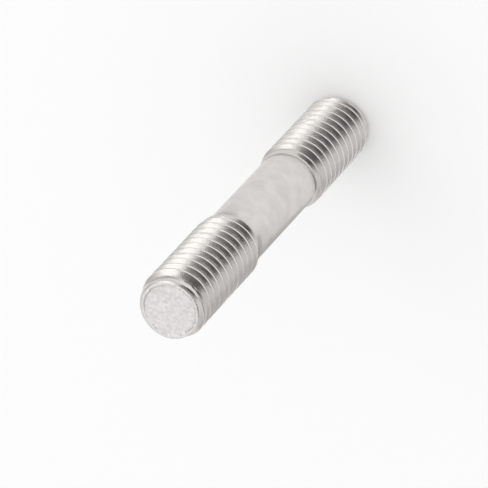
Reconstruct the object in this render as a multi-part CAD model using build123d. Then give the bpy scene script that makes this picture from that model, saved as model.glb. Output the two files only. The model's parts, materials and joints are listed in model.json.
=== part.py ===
"""Double-ended stud bolt: one steel rod with a rolled thread at each end and a plain shank between them.

The stud stands on its foot, with its axis on Z and the middle of the foot's end face at the origin.
"""
import os
from math import ceil, cos, pi, radians, sin, tan

from build123d import *

# Driving sizes, in millimetres
foot_thread_length = 8.7
top_thread_length = 9.4
runout_length = 1.4
shank_length = 9.1
shank_diameter = 4.3
crest_diameter = 4.91
pitch = 0.8
end_chamfer_width = 0.2
lead_length = 0.5

# Angles, in degrees
flank_angle = 30.0
end_chamfer_angle = 45.0
lead_cone_angle = 60.0
foot_thread_turn = 123.0
top_thread_turn = 282.0

# Thread form, as shares of the pitch
thread_depth_share = 0.53
crest_flat_share = 0.125
sink_share = 0.08

# Rails of the thread: points in each turn, and the step that finds their direction
points_per_turn = 16
tangent_step_share = 0.001

# Sizes worked out from those above
shank_foot = foot_thread_length + runout_length
shank_top = shank_foot + shank_length
overall_length = shank_top + runout_length + top_thread_length
crest_radius = crest_diameter / 2
shank_radius = shank_diameter / 2
end_face_radius = shank_radius - end_chamfer_width
thread_depth = thread_depth_share * pitch
root_radius = crest_radius - thread_depth
flank_width = thread_depth * tan(radians(flank_angle))
crest_flat = crest_flat_share * pitch
sink = sink_share * pitch


def fading_radius(full_radius, full_length):
    """Radius along the thread: full at first, then sinking smoothly to just under the shank's surface."""
    buried_radius = shank_radius - sink

    def radius_at(height):
        along = min(max((height - full_length) / runout_length, 0), 1)
        eased = along * along * (3 - 2 * along)
        return full_radius + (buried_radius - full_radius) * eased

    return radius_at


def rail(start_height, radius_at):
    """One right-handed turn of a thread edge, one pitch high."""

    def point(share):
        height = start_height + share * pitch
        radius = radius_at(height)
        return Vector(radius * cos(2 * pi * share), radius * sin(2 * pi * share), height)

    def direction(share):
        return (point(share + tangent_step_share) - point(share - tangent_step_share)) / (2 * tangent_step_share)

    shares = [i / points_per_turn for i in range(points_per_turn + 1)]
    return Edge.make_spline(
        [point(share) for share in shares],
        tangents=[direction(0), direction(1)],
        parameters=shares,
        scale=False,
    )


def threaded_rod(full_length):
    """A rod with the 60 degree thread all along it, from below the end face to inside the shank.

    Each turn is four ruled faces, for the rising flank, the crest, the falling flank and the root.
    """
    root_at = fading_radius(root_radius, full_length)
    crest_at = fading_radius(crest_radius, full_length)
    bottom = -pitch - flank_width
    turns = ceil((full_length + runout_length - bottom) / pitch)

    first_root = rail(bottom, root_at)
    last_root = first_root
    faces = []
    sections = []
    for turn in range(turns):
        foot = bottom + turn * pitch
        crest_foot = foot + flank_width
        rails = [
            last_root,
            rail(crest_foot, crest_at),
            rail(crest_foot + crest_flat, crest_at),
            rail(crest_foot + crest_flat + flank_width, root_at),
            rail(foot + pitch, root_at),
        ]
        faces += [Face.make_surface_from_curves(low, high) for low, high in zip(rails, rails[1:])]
        sections.append(rails)
        last_root = rails[-1]

    # Each end is closed by a ramp up to the axis and by the thread's own section
    for rim, section, share in ((first_root, sections[0], 0), (last_root, sections[-1], 1)):
        low_point = (0, 0, (rim @ 0).Z)
        high_point = (0, 0, (rim @ 1).Z)
        faces.append(Face.make_surface_from_curves(Edge.make_line(low_point, high_point), rim))
        corners = [low_point] + [edge @ share for edge in section] + [high_point]
        faces.append(Face(Wire.make_polygon(corners, close=True)))
    return Solid(Shell(faces))


def turned(outline):
    """The solid that an outline of radius and height points makes, turned about the axis."""
    return revolve(make_face(Plane.XZ * Polyline(*outline, close=True)), Axis.Z)


def end_blank():
    """The room that a threaded end fills: a flat face, its chamfer, a lead as thick as the shank, and a cone.

    The steep cone lets the first turn of the thread grow out of the lead to its full height.
    """
    outer_radius = shank_radius + crest_radius
    chamfer_top = end_chamfer_width / tan(radians(end_chamfer_angle))
    cone_top = lead_length + crest_radius / tan(radians(lead_cone_angle))
    outline = [
        (0, 0),
        (end_face_radius, 0),
        (shank_radius, chamfer_top),
        (shank_radius, lead_length),
        (outer_radius, cone_top),
        (outer_radius, overall_length),
        (0, overall_length),
    ]
    return turned(outline)


def threaded_end(full_length, turn):
    """One end with its thread, standing on its own end face."""
    return Rot(0, 0, turn) * threaded_rod(full_length) & end_blank()


def shank():
    """The plain middle, with a slim cone at each end that fills the last of the thread's root."""
    cone_radius = root_radius - sink
    outline = [
        (0, foot_thread_length),
        (cone_radius, foot_thread_length),
        (shank_radius, shank_foot),
        (shank_radius, shank_top),
        (cone_radius, shank_top + runout_length),
        (0, shank_top + runout_length),
    ]
    return turned(outline)


def stud():
    """The whole stud: two threaded ends, the top one turned over, on one shank."""
    foot_end = threaded_end(foot_thread_length, foot_thread_turn)
    top_end = threaded_end(top_thread_length, top_thread_turn)
    return foot_end + shank() + Pos(0, 0, overall_length) * Rot(180, 0, 0) * top_end


os.makedirs("parts", exist_ok=True)
export_step(stud(), "parts/stud.step")
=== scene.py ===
"""Double-ended stud bolt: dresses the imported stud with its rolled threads, sheared ends and steel finish."""

import json
from math import cos, pi, radians, sin, tan

import bpy
from bpy.props import FloatProperty, FloatVectorProperty, IntProperty, PointerProperty
from bpy.types import Operator, Panel, PropertyGroup
from mathutils import Matrix, Vector


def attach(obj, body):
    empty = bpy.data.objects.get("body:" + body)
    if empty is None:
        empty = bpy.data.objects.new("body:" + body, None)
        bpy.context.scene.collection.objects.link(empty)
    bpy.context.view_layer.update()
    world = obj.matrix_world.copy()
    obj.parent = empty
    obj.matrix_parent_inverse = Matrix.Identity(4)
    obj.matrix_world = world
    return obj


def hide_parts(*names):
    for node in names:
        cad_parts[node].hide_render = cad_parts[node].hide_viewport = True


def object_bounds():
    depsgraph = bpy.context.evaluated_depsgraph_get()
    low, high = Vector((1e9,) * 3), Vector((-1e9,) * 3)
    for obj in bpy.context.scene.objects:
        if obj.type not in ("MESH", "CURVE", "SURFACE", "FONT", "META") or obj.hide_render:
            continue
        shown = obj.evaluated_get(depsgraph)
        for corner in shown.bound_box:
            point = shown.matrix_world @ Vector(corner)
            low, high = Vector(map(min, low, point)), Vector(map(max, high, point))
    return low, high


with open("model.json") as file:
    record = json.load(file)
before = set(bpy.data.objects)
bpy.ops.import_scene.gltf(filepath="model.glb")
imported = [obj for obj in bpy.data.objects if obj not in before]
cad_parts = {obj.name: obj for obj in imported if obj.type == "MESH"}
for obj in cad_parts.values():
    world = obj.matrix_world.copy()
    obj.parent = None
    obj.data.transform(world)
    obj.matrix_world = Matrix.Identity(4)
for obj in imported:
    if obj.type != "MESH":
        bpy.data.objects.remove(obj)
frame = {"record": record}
CAD_LOW, CAD_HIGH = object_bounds()

bl_info = {
    "name": "Double-ended stud bolt",
    "version": (1, 0, 0),
    "blender": (4, 5, 0),
    "location": "View3D > Sidebar > Stud",
    "description": "Builds a steel stud with a rolled thread at each end, and the stage it stands on",
    "category": "Add Mesh",
}

MM = 0.001
NODE = "stud"
BODY = "root"

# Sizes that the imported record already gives
MOUNTS = {mount["name"]: mount for mount in frame["record"]["mounts"]}
FOOT_THREAD = MOUNTS["foot_thread"]["dims"]
TOP_THREAD = MOUNTS["top_thread"]["dims"]

# Rod: the thread's slope, the spare pitches past its ends, how much its rows crowd at crests and roots,
# the pitches past an end at which it has closed on the axis, and its soft joins as shares of the sink
FLANK_ANGLE = radians(30.0)
SPARE_BELOW = 3
SPARE_ABOVE = 4
ROW_CROWDING = 0.7
CAP_PITCHES = 1.6
SHANK_JOIN = 0.5
LEAD_JOIN = 0.6

# Cup that cuts an end: its divisions, and its width and height as shares of the stud's length
CUP_SIDES = 160
CUP_RINGS = 8
CUP_FILL_RINGS = 44
CUP_WIDTH = 2.0
CUP_HEIGHT = 1.2
FOOT_SEED = 1.0
TOP_SEED = 5.0

# Gaps to merge at the rod's seam and after the cut, the bend past which an edge stays crisp,
# and how level a face at an end has to be to count as sheared
SEAM_GAP = 0.0001 * MM
SLIVER_WIDTH = 0.0015 * MM
CRISP_ANGLE = radians(32.0)
END_FLATNESS = 0.9

# Noises, as waves in each metre, and the range that most of a noise lies in
THREAD_WAVES = 2000.0
FACE_WAVES = 900.0
FACE_GRAIN = 4200.0
RIM_CHIPS = 2600.0
STEEL_GRAIN = 12000.0
SHANK_STAINS = 1100.0
END_GRAIN = 5000.0
END_PATCHES = 4500.0
NOISE_LOW, NOISE_HIGH = 0.3, 0.7

# Stage: floor, and the way from the stud to the lamp panel
FLOOR_SIZE = 3.0
FLOOR_ROUGHNESS = 0.9
CAMERA_NEAR = 10 * MM
PANEL_WAY = Vector((0.58, -0.05, 0.8))

# Graded card round the camera: its edges as shares of the card distance, and its greys from left to right
CARD_LEFT, CARD_RIGHT = -1.0, 0.4
CARD_LOW, CARD_HIGH = -0.62, 0.4
CARD_GREYS = (
    (0.0, 0.8), (0.2, 0.72), (0.364, 0.41), (0.464, 0.135), (0.557, 0.1),
    (0.643, 0.165), (0.73, 0.2), (0.82, 0.27), (0.91, 0.38), (1.0, 0.5),
)

# Standing cards: name, width, height and distance as shares of the card distance, way from the stud, and grey
STANDING_CARDS = (
    ("side card", 0.9, 0.9, 1.0, (-0.74, 0.12, 0.66), 0.85),
    ("edge card", 0.5, 0.5, 0.9, (-0.74, 0.4, 0.54), 0.66),
    ("right wall", 1.0, 0.4, 0.9, (-0.93, -0.3, 0.05), 0.55),
    ("left edge", 0.4, 0.4, 1.0, (0.78, 0.5, 0.4), 0.72),
)

# Cards just over the floor: name, width, length and place in millimetres, and grey
LYING_CARDS = (
    ("left strip", 140, 60, (89, -1, 0.2), 0.6),
    ("right strip", 140, 60, (-89, -1, 0.2), 0.42),
    # The low card is a painted shadow: a grey patch on the floor beside the stud that only the steel mirrors,
    # darkening its right side
    ("painted shadow card", 30, 26, (-18, 17.5, 0.3), 0.52),
)


def length_setting(name, description, default, lowest=0.0):
    """A property that holds a length in metres."""
    return FloatProperty(
        name=name, description=description, default=default, min=lowest, unit="LENGTH", precision=6
    )


def angle_setting(name, description, degrees):
    """A property that holds an angle."""
    return FloatProperty(name=name, description=description, default=radians(degrees), subtype="ANGLE")


def share_setting(name, description, default):
    """A property that holds a share, from none to all."""
    return FloatProperty(
        name=name, description=description, default=default, min=0.0, max=1.0, subtype="FACTOR"
    )


def strength_setting(name, description, default):
    """A property that holds the strength of a light, where 1 is white."""
    return FloatProperty(name=name, description=description, default=default, min=0.0)


def count_setting(name, description, default, fewest):
    """A property that holds a whole number."""
    return IntProperty(name=name, description=description, default=default, min=fewest)


def colour_setting(name, description, default):
    """A property that holds a colour."""
    return FloatVectorProperty(
        name=name, description=description, default=default, min=0.0, max=1.0, size=3, subtype="COLOR"
    )


class StudSizes(PropertyGroup):
    """Sizes of the stud and of its thread."""

    overall_length: length_setting("Overall length", "From one end face to the other", CAD_HIGH.z - CAD_LOW.z)
    crest_diameter: length_setting("Crest diameter", "Across the crests", 2 * TOP_THREAD["r_mm"] * MM)
    foot_thread_length: length_setting(
        "Foot thread", "From the foot's face to its run-out", FOOT_THREAD["length_mm"] * MM
    )
    top_thread_length: length_setting(
        "Top thread", "From the top face to its run-out", TOP_THREAD["length_mm"] * MM
    )
    runout_length: length_setting("Run-out", "Length over which the thread fades into the shank", 1.4 * MM)
    shank_diameter: length_setting("Shank diameter", "Across the plain middle", 4.3 * MM)
    end_rounding: length_setting("End rounding", "Radius of the worn edge round each end face", 0.38 * MM)
    top_shift: length_setting("Top shift", "How far the shear pushed the top end to one side", 0.16 * MM)
    top_shift_turn: angle_setting("Top shift turn", "Where that side lies round the axis", 125.0)
    lead_diameter: length_setting("Lead diameter", "Across the plain lead at each end", 4.64 * MM)
    lead_length: length_setting("Lead length", "From the end face to where the thread starts", 0.5 * MM)
    lead_cone_angle: angle_setting("Lead cone", "Slope of the cone that the first turn grows out of", 60.0)
    pitch: length_setting("Pitch", "From one crest to the next", 0.8 * MM)
    thread_depth: share_setting("Thread depth", "Depth of the thread as a share of the pitch", 0.53)
    crest_flat: share_setting("Crest flat", "Width of the crest as a share of the pitch", 0.125)
    sink: share_setting("Sink", "How far the thread ends under the shank, as a share of the pitch", 0.08)
    corner_rounding: share_setting(
        "Corner rounding", "How round the crest and root are, as a share of the flank", 0.11
    )
    end_relief: length_setting("End relief", "Depth of the unevenness of the sheared ends", 0.05 * MM)
    end_rim: length_setting("End rim", "Height of the ragged rim round each sheared face", 0.06 * MM)
    thread_wear: length_setting("Thread wear", "Depth of the unevenness of the rolled threads", 0.015 * MM)
    foot_thread_turn: angle_setting(
        "Foot thread turn", "Where the foot's thread starts round the axis", 123.0
    )
    segments: count_setting("Segments", "Faces in each turn of the thread", 80, 12)
    rows: count_setting("Rows", "Faces across each pitch of the thread", 24, 8)


class StudFinish(PropertyGroup):
    """Colours and polish of the steel."""

    thread_steel: colour_setting("Thread steel", "Burnished steel of the threads", (0.62, 0.592, 0.57))
    # Paler steel at the crests: real wear, and also a painted highlight along the crest lines
    crest_steel_and_highlight: colour_setting("Crest steel", "Steel of the crests, rubbed bright", (0.8, 0.77, 0.75))
    shank_steel: colour_setting("Shank steel", "Satin steel of the drawn bar", (0.745, 0.712, 0.692))
    shank_stain: colour_setting("Shank stain", "Faint stains on the drawn bar", (0.675, 0.644, 0.624))
    end_steel: colour_setting("End steel", "Freshly sheared steel of the end faces", (0.815, 0.785, 0.775))
    end_steel_dark: colour_setting("Dull end steel", "Duller patches of the end faces", (0.68, 0.654, 0.645))
    thread_roughness: share_setting("Thread roughness", "The rolled thread is burnished", 0.115)
    shank_roughness: share_setting("Shank roughness", "The shank keeps the satin of the drawn bar", 0.38)
    end_roughness: share_setting("End roughness", "The sheared ends are dull", 0.36)


class StudStage(PropertyGroup):
    """Floor, light and camera."""

    floor: colour_setting("Floor", "Colour of the floor", (0.95, 0.95, 0.95))
    room_light: strength_setting("Room light", "Light of the white room", 1.0)
    panel_size: length_setting("Panel size", "Side of the lamp panel", 0.1)
    panel_light: strength_setting("Panel light", "Brightness of the lamp panel", 0.64)
    card_distance: length_setting("Card distance", "From the stud to the graded card", 0.2)
    camera_elevation: angle_setting("Camera elevation", "Height of the camera over the horizon", 54.52)
    camera_roll: angle_setting("Camera roll", "Turn of the camera about its own line of sight", 137.39)
    camera_field: angle_setting("Camera field", "Angle that the picture spans", 5.178)
    camera_distance: length_setting("Camera distance", "From the camera to the point it aims at", 370.08 * MM)
    aim_height: length_setting("Aim height", "Height of the point that the camera aims at", 18.728 * MM)
    aim_side: length_setting("Aim side", "How far that point lies to the side of the axis", -0.738 * MM, -1.0)


class Sheet:
    """A node tree, with short calls that add nodes to it and return their sockets."""

    def __init__(self, tree):
        self.tree = tree

    def node(self, kind, inputs=None, **settings):
        """Adds a node, sets it up, and fills its inputs with values or links."""
        node = self.tree.nodes.new(kind)
        for name, value in settings.items():
            setattr(node, name, value)
        for key, value in (inputs or {}).items():
            self.fill(node.inputs[key], value)
        return node

    def fill(self, socket, value):
        """Links an output to a socket, or sets the socket's own value."""
        if isinstance(value, bpy.types.NodeSocket):
            self.tree.links.new(value, socket)
        else:
            socket.default_value = value

    def math(self, operation, *values):
        """One sum of plain numbers."""
        node = self.node("ShaderNodeMath", operation=operation)
        for socket, value in zip(node.inputs, values):
            self.fill(socket, value)
        return node.outputs[0]

    def add(self, a, b):
        return self.math("ADD", a, b)

    def subtract(self, a, b):
        return self.math("SUBTRACT", a, b)

    def multiply(self, a, b):
        return self.math("MULTIPLY", a, b)

    def divide(self, a, b):
        return self.math("DIVIDE", a, b)

    def ramp(self, value, start, end, low=0.0, high=1.0, smooth=False):
        """Carries a value from one range to another, and holds it at the ends."""
        node = self.node(
            "ShaderNodeMapRange",
            {"Value": value, "From Min": start, "From Max": end, "To Min": low, "To Max": high},
            interpolation_type="SMOOTHSTEP" if smooth else "LINEAR",
        )
        return node.outputs["Result"]

    def between(self, share, first, second):
        """The first value at a share of 0, the second at 1, and those between on the way."""
        return self.ramp(share, 0.0, 1.0, first, second)

    def point(self, x=0.0, y=0.0, z=0.0):
        """A point from its three distances."""
        return self.node("ShaderNodeCombineXYZ", {"X": x, "Y": y, "Z": z}).outputs[0]

    def apart(self, point):
        """The three distances of a point."""
        return self.node("ShaderNodeSeparateXYZ", {0: point}).outputs

    def vector(self, operation, inputs):
        """One sum of vectors."""
        return self.node("ShaderNodeVectorMath", inputs, operation=operation).outputs["Vector"]

    def size_of(self, vector):
        """How long a vector is."""
        return self.node("ShaderNodeVectorMath", {0: vector}, operation="LENGTH").outputs["Value"]

    def noise(self, place, waves, detail, seed=None):
        """A soft noise. Two that share their places differ by a seed."""
        inputs = {"Vector": place, "Scale": waves, "Detail": detail}
        if seed is None:
            return self.node("ShaderNodeTexNoise", inputs).outputs["Fac"]
        return self.node("ShaderNodeTexNoise", {**inputs, "W": seed}, noise_dimensions="4D").outputs["Fac"]

    def mix(self, share, first, second):
        """A colour between two others."""
        node = self.node("ShaderNodeMix", {"Factor": share}, data_type="RGBA")
        self.fill(node.inputs["A"], first)
        self.fill(node.inputs["B"], second)
        return node.outputs["Result"]

    def bump(self, height, strength, depth):
        """The surface's own direction, roughened by a height."""
        inputs = {"Height": height, "Strength": strength, "Distance": depth}
        return self.node("ShaderNodeBump", inputs).outputs["Normal"]


def solid(colour):
    """A colour that lets nothing through."""
    return (*colour, 1.0)


def grey(level):
    """A plain grey, from black at 0 to white at 1."""
    return solid((level, level, level))


def face_relief(sheet, size, seed, place, outward, sideways):
    """How deep a sheared face lies behind its end: least at the ragged rim, and uneven inside it.

    Outward is 0 on the axis and 1 at the face's edge. Sideways is -1 where the shear rolled the rim flat.
    """
    rolled_from, rolled_to, rolled_rim = -0.1, -0.9, 0.15
    rim_wide, rim_narrow = 0.86, 0.97
    grain_share = 0.5
    chip_from, chip_to, chip_depth, chip_start = 0.5, 0.66, 0.8, 0.9

    waves = sheet.noise(place, FACE_WAVES, 2.0, seed)
    grain = sheet.noise(place, FACE_GRAIN, 2.0, seed)
    chips = sheet.noise(place, RIM_CHIPS, 3.0, seed)
    rim_end = sheet.ramp(chips, NOISE_LOW, NOISE_HIGH, rim_wide, rim_narrow)
    inside = sheet.ramp(outward, 1.0, rim_end, smooth=True)
    standing = sheet.ramp(sideways, rolled_to, rolled_from, rolled_rim, 1.0, smooth=True)
    rim = sheet.multiply(size["Rim"], standing)
    uneven = sheet.multiply(size["Relief"], sheet.add(waves, sheet.multiply(grain, grain_share)))
    chip = sheet.ramp(chips, chip_from, chip_to, smooth=True)
    chipped = sheet.multiply(sheet.multiply(rim, chip_depth), chip)
    at_rim = sheet.ramp(outward, chip_start, 1.0, smooth=True)
    return sheet.add(sheet.multiply(inside, sheet.add(rim, uneven)), sheet.multiply(at_rim, chipped))


def end_cup(sheet, size, seed):
    """The room that one end fills: a wide cup whose small end is the sheared face with its rounded edge."""
    last_ring, open_ring = float(CUP_RINGS), float(CUP_RINGS + 1)
    rounding = size["End Rounding"]
    face_radius = sheet.subtract(size["Lead Radius"], rounding)
    cone = sheet.node(
        "GeometryNodeMeshCone",
        {
            "Vertices": CUP_SIDES,
            "Side Segments": CUP_RINGS + 1,
            "Fill Segments": CUP_FILL_RINGS,
            "Radius Bottom": face_radius,
            "Radius Top": sheet.add(face_radius, open_ring),
            "Depth": 1.0,
        },
    ).outputs["Mesh"]
    place = sheet.node("GeometryNodeInputPosition").outputs[0]
    parts = sheet.apart(place)
    flat_place = sheet.point(parts["X"], parts["Y"])
    across = sheet.size_of(flat_place)

    # The side's rings follow the rounding, and the last one opens the cup wide past the other end
    ring = sheet.multiply(parts["Z"], open_ring)
    bend = sheet.multiply(sheet.math("MINIMUM", ring, last_ring), pi / 2 / CUP_RINGS)
    opened = sheet.multiply(sheet.ramp(ring, last_ring, open_ring), size["Length"])
    side_radius = sheet.add(face_radius, sheet.multiply(rounding, sheet.math("SINE", bend)))
    side_radius = sheet.add(side_radius, sheet.multiply(opened, CUP_WIDTH))
    side_height = sheet.multiply(rounding, sheet.subtract(1.0, sheet.math("COSINE", bend)))
    side_height = sheet.add(side_height, sheet.multiply(opened, CUP_HEIGHT))

    # The face keeps its radius and takes its relief
    outward = sheet.divide(across, face_radius)
    sideways = sheet.divide(parts["Y"], face_radius)
    relief = face_relief(sheet, size, seed, place, outward, sideways)
    on_side = sheet.math("GREATER_THAN", ring, 0.5)
    share = sheet.divide(across, sheet.add(face_radius, ring))
    radius = sheet.between(on_side, across, sheet.multiply(share, side_radius))
    height = sheet.between(on_side, relief, side_height)
    way = sheet.vector("NORMALIZE", {0: flat_place})
    spread = sheet.vector("SCALE", {0: way, "Scale": radius})
    moved = sheet.vector("ADD", {0: spread, 1: sheet.point(z=height)})
    return sheet.node("GeometryNodeSetPosition", {"Geometry": cone, "Position": moved}).outputs[0]


def threaded_rod(sheet, size):
    """The rod with both threads and the shank, from below the foot's face to above the top one.

    Its grid's rows lie along the thread, so that each crest and root is an edge of the grid.
    """
    length, pitch = size["Length"], size["Pitch"]

    # A grid one unit wide for each turn and one unit high for each pitch
    grid = sheet.node(
        "GeometryNodeMeshGrid",
        {
            "Size X": 1.0,
            "Size Y": size["Pitches"],
            "Vertices X": sheet.add(size["Segments"], 1),
            "Vertices Y": sheet.add(sheet.multiply(size["Pitches"], size["Rows"]), 1),
        },
    ).outputs["Mesh"]
    place = sheet.apart(sheet.node("GeometryNodeInputPosition").outputs[0])
    share = sheet.add(place["X"], 0.5)
    turn = sheet.multiply(share, 2 * pi)
    row = sheet.add(place["Y"], sheet.math("FLOOR", sheet.multiply(size["Pitches"], 0.5)))
    row = sheet.subtract(row, float(SPARE_BELOW))

    # Rows crowd together at the crests and roots, where the surface bends
    crowding = sheet.multiply(sheet.math("SINE", sheet.multiply(row, 4 * pi)), ROW_CROWDING / (4 * pi))
    row = sheet.subtract(row, crowding)
    height = sheet.add(sheet.multiply(sheet.add(row, share), pitch), size["Foot Phase"])

    # Thread form: distance from the middle of the nearest crest, in pitches
    from_foot_crest = sheet.math("ABSOLUTE", sheet.math("WRAP", row, 0.5, -0.5))
    upper = sheet.math("GREATER_THAN", height, sheet.multiply(length, 0.5))
    from_crest = sheet.math("ABSOLUTE", sheet.subtract(sheet.multiply(upper, 0.5), from_foot_crest))
    past_flat = sheet.subtract(sheet.multiply(from_crest, pitch), sheet.multiply(size["Crest Flat"], 0.5))
    fall = sheet.divide(past_flat, size["Flank"])
    fall = sheet.math("SMOOTH_MIN", fall, 1.0, size["Rounding"])
    fall = sheet.math("SMOOTH_MAX", fall, 0.0, size["Rounding"])
    thread = sheet.subtract(size["Crest Radius"], sheet.multiply(fall, size["Depth"]))

    # Run-out: the thread sinks into the shank while the shank's cone rises out of the root
    from_end = sheet.math("MINIMUM", height, sheet.subtract(length, height))
    full = sheet.between(upper, size["Foot Thread"], size["Top Thread"])
    runout_end = sheet.add(full, size["Run-out"])
    buried = sheet.subtract(size["Shank Radius"], size["Sink"])
    fade = sheet.ramp(from_end, full, runout_end, smooth=True)
    thread = sheet.add(thread, sheet.multiply(fade, sheet.subtract(buried, thread)))
    cone_start = sheet.subtract(sheet.subtract(size["Crest Radius"], size["Depth"]), size["Sink"])
    shank = sheet.ramp(from_end, full, runout_end, cone_start, size["Shank Radius"])
    radius = sheet.math("SMOOTH_MAX", thread, shank, sheet.multiply(size["Sink"], SHANK_JOIN))

    # The first turn grows out of the plain lead, which the shear pushed over to one side at the top
    grown = sheet.math("MAXIMUM", sheet.subtract(from_end, size["Lead Length"]), 0.0)
    lead = sheet.add(size["Lead Radius"], sheet.multiply(grown, size["Lead Slope"]))
    pushed = sheet.add(
        sheet.multiply(size["Shift X"], sheet.math("COSINE", turn)),
        sheet.multiply(size["Shift Y"], sheet.math("SINE", turn)),
    )
    lead = sheet.add(lead, sheet.multiply(pushed, upper))
    radius = sheet.math("SMOOTH_MIN", radius, lead, sheet.multiply(size["Sink"], LEAD_JOIN))

    # Rolling leaves the thread a little uneven along its turns
    crest_place = wrapped(sheet, size["Crest Radius"], turn, height)
    uneven = sheet.subtract(sheet.noise(crest_place, THREAD_WAVES, 3.0), 0.5)
    uneven = sheet.multiply(uneven, sheet.subtract(1.0, fade))
    radius = sheet.add(radius, sheet.multiply(uneven, sheet.multiply(size["Wear"], 2.0)))

    # Beyond the ends the grid closes on the axis, to be cut off by the end faces
    below_end = sheet.multiply(pitch, -1.0)
    radius = sheet.multiply(radius, sheet.ramp(from_end, sheet.multiply(pitch, -CAP_PITCHES), below_end))
    height = sheet.math("MAXIMUM", height, below_end)
    height = sheet.math("MINIMUM", height, sheet.add(length, pitch))
    position = wrapped(sheet, radius, turn, height)
    rod = sheet.node("GeometryNodeSetPosition", {"Geometry": grid, "Position": position}).outputs[0]
    return sheet.node("GeometryNodeMergeByDistance", {"Geometry": rod, "Distance": SEAM_GAP}).outputs[0]


def wrapped(sheet, radius, turn, height):
    """A place round the axis."""
    x = sheet.multiply(radius, sheet.math("COSINE", turn))
    y = sheet.multiply(radius, sheet.math("SINE", turn))
    return sheet.point(x, y, height)


def stud_tree(sizes, finish):
    """The tree that makes the stud: a threaded rod, cut at both ends by a cup."""
    tree = bpy.data.node_groups.new("Stud", "GeometryNodeTree")
    sheet = Sheet(tree)
    for name in (
        "Length", "Crest Radius", "Shank Radius", "End Rounding", "Pitch", "Depth", "Crest Flat", "Flank",
        "Sink", "Foot Thread", "Top Thread", "Run-out", "Lead Radius", "Lead Length", "Lead Slope",
        "Shift X", "Shift Y", "Rounding", "Foot Phase", "Relief", "Rim", "Wear",
    ):
        tree.interface.new_socket(name, in_out="INPUT", socket_type="NodeSocketFloat")
    for name in ("Segments", "Rows", "Pitches"):
        tree.interface.new_socket(name, in_out="INPUT", socket_type="NodeSocketInt")
    tree.interface.new_socket("Mesh", in_out="OUTPUT", socket_type="NodeSocketGeometry")
    size = sheet.node("NodeGroupInput").outputs
    length = size["Length"]

    # Sheared end faces and their rounded edges
    rod = threaded_rod(sheet, size)
    foot_cup = end_cup(sheet, size, FOOT_SEED)
    top_cup = sheet.node(
        "GeometryNodeTransform",
        {
            "Geometry": end_cup(sheet, size, TOP_SEED),
            "Translation": sheet.point(size["Shift X"], size["Shift Y"], length),
            "Rotation": (pi, 0.0, 0.0),
        },
    ).outputs[0]
    cut = sheet.node("GeometryNodeMeshBoolean", operation="INTERSECT", solver="MANIFOLD")
    for part in (rod, foot_cup, top_cup):
        tree.links.new(part, cut.inputs["Mesh 2"])

    # Slivers that the cut leaves are merged away
    clean = sheet.node(
        "GeometryNodeMergeByDistance", {"Geometry": cut.outputs["Mesh"], "Distance": SLIVER_WIDTH}
    ).outputs[0]

    # Smooth all over, with crisp edges only where the ends are cut
    smooth = sheet.node("GeometryNodeSetShadeSmooth", {"Geometry": clean, "Shade Smooth": True}).outputs[0]
    bend = sheet.node("GeometryNodeInputMeshEdgeAngle").outputs["Unsigned Angle"]
    sharp = sheet.math("GREATER_THAN", bend, CRISP_ANGLE)
    crisp = sheet.node(
        "GeometryNodeSetShadeSmooth",
        {"Geometry": smooth, "Selection": sharp, "Shade Smooth": False},
        domain="EDGE",
    ).outputs[0]

    # Rolled steel all over, and sheared steel on the flat faces at the ends
    realized = sheet.node("GeometryNodeRealizeInstances", {"Geometry": crisp}).outputs[0]
    sides = sheet.node(
        "GeometryNodeSetMaterial", {"Geometry": realized, "Material": side_steel(sizes, finish)}
    ).outputs[0]
    height = sheet.apart(sheet.node("GeometryNodeInputPosition").outputs[0])["Z"]
    slope = sheet.apart(sheet.node("GeometryNodeInputNormal").outputs[0])["Z"]
    flat = sheet.math("GREATER_THAN", sheet.math("ABSOLUTE", slope), END_FLATNESS)
    from_end = sheet.math("MINIMUM", height, sheet.subtract(length, height))
    face_depth = sheet.add(size["Rim"], sheet.multiply(size["Relief"], 2.0))
    on_end = sheet.math("LESS_THAN", from_end, face_depth)
    ends = sheet.node(
        "GeometryNodeSetMaterial",
        {"Geometry": sides, "Selection": sheet.multiply(flat, on_end), "Material": end_steel(finish)},
    ).outputs[0]
    sheet.node("NodeGroupOutput", {"Mesh": ends})
    return tree


def metal(name):
    """A new metal material, its sheet and its shader."""
    material = bpy.data.materials.new(name)
    material.use_nodes = True
    sheet = Sheet(material.node_tree)
    shader = material.node_tree.nodes["Principled BSDF"]
    shader.inputs["Metallic"].default_value = 1.0
    return material, sheet, shader


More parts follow.
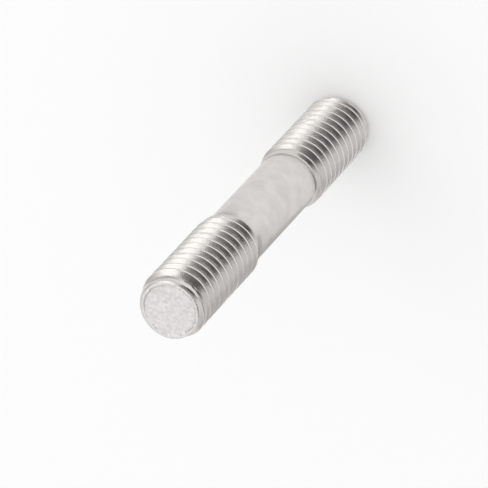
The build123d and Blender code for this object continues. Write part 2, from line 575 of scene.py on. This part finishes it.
def side_steel(sizes, finish):
    """Steel of the threads and shank: burnished where it was rolled, satin where it wasn't."""
    shank_fade = 0.6 * sizes.runout_length
    rough_low, rough_high = 0.7, 1.3
    rubbed_and_highlit_from, rubbed_and_highlit_to = 0.05 * MM, 0.01 * MM
    stain_from, stain_to = 0.4, 0.65
    edge_from, edge_to = 0.36 * sizes.end_rounding, 0.6 * sizes.end_rounding
    lead_from, lead_to = 0.8 * sizes.lead_length, sizes.lead_length
    grain_strength, grain_depth = 0.6, 0.015 * MM

    material, sheet, shader = metal("rolled steel")
    place = sheet.node("ShaderNodeTexCoord").outputs["Object"]
    parts = sheet.apart(place)
    height = parts["Z"]

    # The shank is plain between the run-outs
    shank_foot = sizes.foot_thread_length + sizes.runout_length
    shank_top = sizes.overall_length - sizes.top_thread_length - sizes.runout_length
    above = sheet.ramp(height, shank_foot - shank_fade, shank_foot, smooth=True)
    below = sheet.ramp(height, shank_top + shank_fade, shank_top, smooth=True)
    plain = sheet.multiply(above, below)
    grain = sheet.noise(place, STEEL_GRAIN, 3.0)
    roughness = sheet.between(plain, finish.thread_roughness, finish.shank_roughness)
    uneven = sheet.ramp(grain, NOISE_LOW, NOISE_HIGH, rough_low, rough_high)
    sheet.fill(shader.inputs["Roughness"], sheet.multiply(roughness, uneven))

    # Crests are worn bright, and their paler steel also paints a highlight along each crest line; the bar's
    # own steel shows on the shank and the lead
    across = sheet.size_of(sheet.point(parts["X"], parts["Y"]))
    crest = sizes.crest_diameter / 2
    rubbed_and_highlit = sheet.ramp(across, crest - rubbed_and_highlit_from, crest - rubbed_and_highlit_to)
    thread = sheet.mix(rubbed_and_highlit, solid(finish.thread_steel), solid(finish.crest_steel_and_highlight))
    stained = sheet.ramp(sheet.noise(place, SHANK_STAINS, 4.0), stain_from, stain_to)
    bar = sheet.mix(stained, solid(finish.shank_steel), solid(finish.shank_stain))
    from_end = sheet.math("MINIMUM", height, sheet.subtract(sizes.overall_length, height))
    past_edge = sheet.ramp(from_end, edge_from, edge_to)
    on_lead = sheet.multiply(past_edge, sheet.ramp(from_end, lead_to, lead_from))
    unrolled = sheet.math("MAXIMUM", plain, on_lead)
    sheet.fill(shader.inputs["Base Color"], sheet.mix(unrolled, thread, bar))
    sheet.fill(shader.inputs["Normal"], sheet.bump(grain, grain_strength, grain_depth))
    return material


def end_steel(finish):
    """Steel of the sheared end faces: dull and mottled."""
    rough_low, rough_high = 0.7 * finish.end_roughness, 1.3 * finish.end_roughness
    patch_from, patch_to = 0.35, 0.65
    grain_strength, grain_depth = 1.0, 0.06 * MM

    material, sheet, shader = metal("sheared steel")
    place = sheet.node("ShaderNodeTexCoord").outputs["Object"]
    grain = sheet.noise(place, END_GRAIN, 4.0)
    roughness = sheet.ramp(grain, NOISE_LOW, NOISE_HIGH, rough_low, rough_high)
    sheet.fill(shader.inputs["Roughness"], roughness)
    patches = sheet.ramp(sheet.noise(place, END_PATCHES, 3.0), patch_from, patch_to)
    colour = sheet.mix(patches, solid(finish.end_steel_dark), solid(finish.end_steel))
    sheet.fill(shader.inputs["Base Color"], colour)
    sheet.fill(shader.inputs["Normal"], sheet.bump(grain, grain_strength, grain_depth))
    return material


def tree_values(sizes):
    """What each input of the stud's tree is set to."""
    depth = sizes.thread_depth * sizes.pitch
    crest_flat = sizes.crest_flat * sizes.pitch
    pitches = int(sizes.overall_length / sizes.pitch) + SPARE_BELOW + SPARE_ABOVE
    return {
        "Length": sizes.overall_length,
        "Crest Radius": sizes.crest_diameter / 2,
        "Shank Radius": sizes.shank_diameter / 2,
        "End Rounding": sizes.end_rounding,
        "Pitch": sizes.pitch,
        "Depth": depth,
        "Crest Flat": crest_flat,
        "Flank": depth * tan(FLANK_ANGLE),
        "Sink": sizes.sink * sizes.pitch,
        "Foot Thread": sizes.foot_thread_length,
        "Top Thread": sizes.top_thread_length,
        "Run-out": sizes.runout_length,
        "Lead Radius": sizes.lead_diameter / 2,
        "Lead Length": sizes.lead_length,
        "Lead Slope": tan(sizes.lead_cone_angle),
        "Shift X": sizes.top_shift * cos(sizes.top_shift_turn),
        "Shift Y": sizes.top_shift * sin(sizes.top_shift_turn),
        "Rounding": sizes.corner_rounding,
        "Foot Phase": crest_flat / 2 - sizes.pitch * sizes.foot_thread_turn / (2 * pi),
        "Relief": sizes.end_relief,
        "Rim": sizes.end_rim,
        "Wear": sizes.thread_wear,
        "Segments": sizes.segments,
        "Rows": sizes.rows,
        "Pitches": pitches + pitches % 2,
    }


class STUD_OT_build(Operator):
    """Build the stud: thread, shank, run-outs and sheared ends in one piece"""

    bl_idname = "stud.build"
    bl_label = "Build the stud"

    def execute(self, context):
        sizes = context.scene.stud_sizes
        tree = stud_tree(sizes, context.scene.stud_finish)
        values = tree_values(sizes)
        draft = bpy.data.objects.new("stud draft", bpy.data.meshes.new("stud draft"))
        context.collection.objects.link(draft)
        modifier = draft.modifiers.new("Stud", "NODES")
        modifier.node_group = tree
        for socket in tree.interface.items_tree:
            if socket.in_out == "INPUT":
                modifier[socket.identifier] = values[socket.name]

        graph = context.evaluated_depsgraph_get()
        mesh = bpy.data.meshes.new_from_object(draft.evaluated_get(graph), depsgraph=graph)
        bpy.data.objects.remove(draft)
        if not mesh.polygons:
            raise RuntimeError("the stud's tree made no faces")
        mesh.name = "stud_steel"
        stud = bpy.data.objects.new("stud_steel", mesh)
        context.collection.objects.link(stud)
        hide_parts(NODE)
        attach(stud, BODY)
        return {"FINISHED"}


class STUD_OT_stage(Operator):
    """Set the floor, the light and the camera"""

    bl_idname = "stud.stage"
    bl_label = "Set the stage"

    def execute(self, context):
        stage = context.scene.stud_stage
        floor = flat_sheet("floor", FLOOR_SIZE, FLOOR_SIZE, Matrix.Identity(4), floor_paint(stage))
        aim = Vector((stage.aim_side, 0.0, stage.aim_height))
        elevation = stage.camera_elevation
        back = Vector((0.0, -cos(elevation), sin(elevation)))
        level_right = Vector((1.0, 0.0, 0.0))
        level_up = back.cross(level_right)
        set_camera(stage, aim, back, level_right, level_up)

        # Cards that only the polished steel mirrors
        reach = stage.card_distance
        cards = [graded_card(reach, aim, back, level_right, level_up)]
        for name, width, height, distance, way, level in STANDING_CARDS:
            placing = facing(aim + distance * reach * Vector(way).normalized(), aim)
            paint = glowing(name, grey(level))[0]
            cards.append(flat_sheet(name, width * reach, height * reach, placing, paint))
        for name, width, length, place, level in LYING_CARDS:
            placing = Matrix.Translation(MM * Vector(place))
            paint = glowing(name, grey(level))[0]
            cards.append(flat_sheet(name, width * MM, length * MM, placing, paint))
        for card in cards:
            card.visible_camera = card.visible_diffuse = card.visible_shadow = False

        hang_panel(stage, facing(aim + reach * PANEL_WAY.normalized(), aim))
        set_world(context.scene, stage.room_light)
        context.scene.view_settings.view_transform = "Standard"
        return {"FINISHED"}


def facing(place, target):
    """The placing of a flat thing that stands at a place and looks at a target."""
    turn = (target - place).to_track_quat("-Z", "Y")
    return Matrix.Translation(place) @ turn.to_matrix().to_4x4()


def flat_sheet(name, width, length, placing, paint):
    """A flat rectangle whose placing is in its mesh."""
    corners = [(x * width / 2, y * length / 2, 0.0) for x, y in ((-1, -1), (1, -1), (1, 1), (-1, 1))]
    mesh = bpy.data.meshes.new(name)
    mesh.from_pydata([placing @ Vector(corner) for corner in corners], [], [(0, 1, 2, 3)])
    mesh.materials.append(paint)
    sheet = bpy.data.objects.new(name, mesh)
    bpy.context.collection.objects.link(sheet)
    return sheet


def floor_paint(stage):
    """The floor's own dull paint."""
    paint = bpy.data.materials.new("pale floor")
    paint.use_nodes = True
    shader = paint.node_tree.nodes["Principled BSDF"]
    shader.inputs["Base Color"].default_value = solid(stage.floor)
    shader.inputs["Roughness"].default_value = FLOOR_ROUGHNESS
    shader.inputs["Specular IOR Level"].default_value = 0.0
    return paint


def glowing(name, colour):
    """A paint that shows its own colour in any light, its sheet and its shader."""
    paint = bpy.data.materials.new(name)
    paint.use_nodes = True
    paint.node_tree.nodes.clear()
    sheet = Sheet(paint.node_tree)
    glow = sheet.node("ShaderNodeEmission", {"Color": colour, "Strength": 1.0})
    sheet.node("ShaderNodeOutputMaterial", {"Surface": glow.outputs[0]})
    return paint, sheet, glow


def graded_card(reach, aim, back, level_right, level_up):
    """The card round the camera: darkest beside it and paler to both sides."""
    paint, sheet, glow = glowing("graded card", grey(1.0))
    place = sheet.node("ShaderNodeTexCoord").outputs["Object"]
    along = sheet.ramp(sheet.apart(place)["X"], CARD_LEFT * reach, CARD_RIGHT * reach)
    bands = sheet.node("ShaderNodeValToRGB", {"Fac": along})
    stops = bands.color_ramp.elements
    for number, (position, level) in enumerate(CARD_GREYS):
        stop = stops[number] if number < len(stops) else stops.new(position)
        stop.position = position
        stop.color = grey(level)
    sheet.fill(glow.inputs["Color"], bands.outputs["Color"])

    sideways = (CARD_LEFT + CARD_RIGHT) / 2 * level_right
    upward = (CARD_LOW + CARD_HIGH) / 2 * level_up
    middle = Matrix.Translation(aim + reach * (back + sideways + upward))
    turn = Matrix((level_right, level_up, back)).transposed().to_4x4()
    width, height = reach * (CARD_RIGHT - CARD_LEFT), reach * (CARD_HIGH - CARD_LOW)
    return flat_sheet("graded card", width, height, middle @ turn, paint)


def hang_panel(stage, placing):
    """The lamp panel, whose reflection is the bright stripe along the thread."""
    lamp = bpy.data.lights.new("side panel", "AREA")
    lamp.shape = "SQUARE"
    lamp.size = stage.panel_size
    lamp.energy = stage.panel_light * pi * lamp.size ** 2
    panel = bpy.data.objects.new("side panel", lamp)
    panel.matrix_world = placing
    panel.visible_camera = False
    bpy.context.collection.objects.link(panel)


def set_camera(stage, aim, back, level_right, level_up):
    """The camera, rolled about its own line of sight."""
    roll = stage.camera_roll
    right = cos(roll) * level_right - sin(roll) * level_up
    up = sin(roll) * level_right + cos(roll) * level_up
    camera = bpy.data.cameras.new("camera")
    camera.sensor_fit = "HORIZONTAL"
    camera.angle = stage.camera_field
    camera.clip_start = CAMERA_NEAR
    eye = bpy.data.objects.new("camera", camera)
    turn = Matrix((right, up, back)).transposed().to_4x4()
    eye.matrix_world = Matrix.Translation(aim + stage.camera_distance * back) @ turn
    bpy.context.collection.objects.link(eye)
    bpy.context.scene.camera = eye


def set_world(scene, room_light):
    """A plain white room."""
    world = bpy.data.worlds.new("pale room")
    world.use_nodes = True
    background = world.node_tree.nodes["Background"]
    background.inputs["Color"].default_value = grey(1.0)
    background.inputs["Strength"].default_value = room_light
    scene.world = world


class STUD_PT_panel(Panel):
    """Lists what the add-on builds"""

    bl_idname = "STUD_PT_panel"
    bl_label = "Stud"
    bl_space_type = "VIEW_3D"
    bl_region_type = "UI"
    bl_category = "Stud"

    def draw(self, context):
        for settings in (context.scene.stud_sizes, context.scene.stud_finish, context.scene.stud_stage):
            box = self.layout.box()
            for name in settings.__annotations__:
                box.prop(settings, name)
        self.layout.operator(STUD_OT_build.bl_idname)
        self.layout.operator(STUD_OT_stage.bl_idname)


CLASSES = (StudSizes, StudFinish, StudStage, STUD_OT_build, STUD_OT_stage, STUD_PT_panel)


def register():
    for cls in CLASSES:
        bpy.utils.register_class(cls)
    bpy.types.Scene.stud_sizes = PointerProperty(type=StudSizes)
    bpy.types.Scene.stud_finish = PointerProperty(type=StudFinish)
    bpy.types.Scene.stud_stage = PointerProperty(type=StudStage)


def unregister():
    del bpy.types.Scene.stud_sizes, bpy.types.Scene.stud_finish, bpy.types.Scene.stud_stage
    for cls in reversed(CLASSES):
        bpy.utils.unregister_class(cls)


def main():
    """Builds everything in order."""
    register()
    bpy.ops.stud.build()
    bpy.ops.stud.stage()


if __name__ == "__main__":
    main()
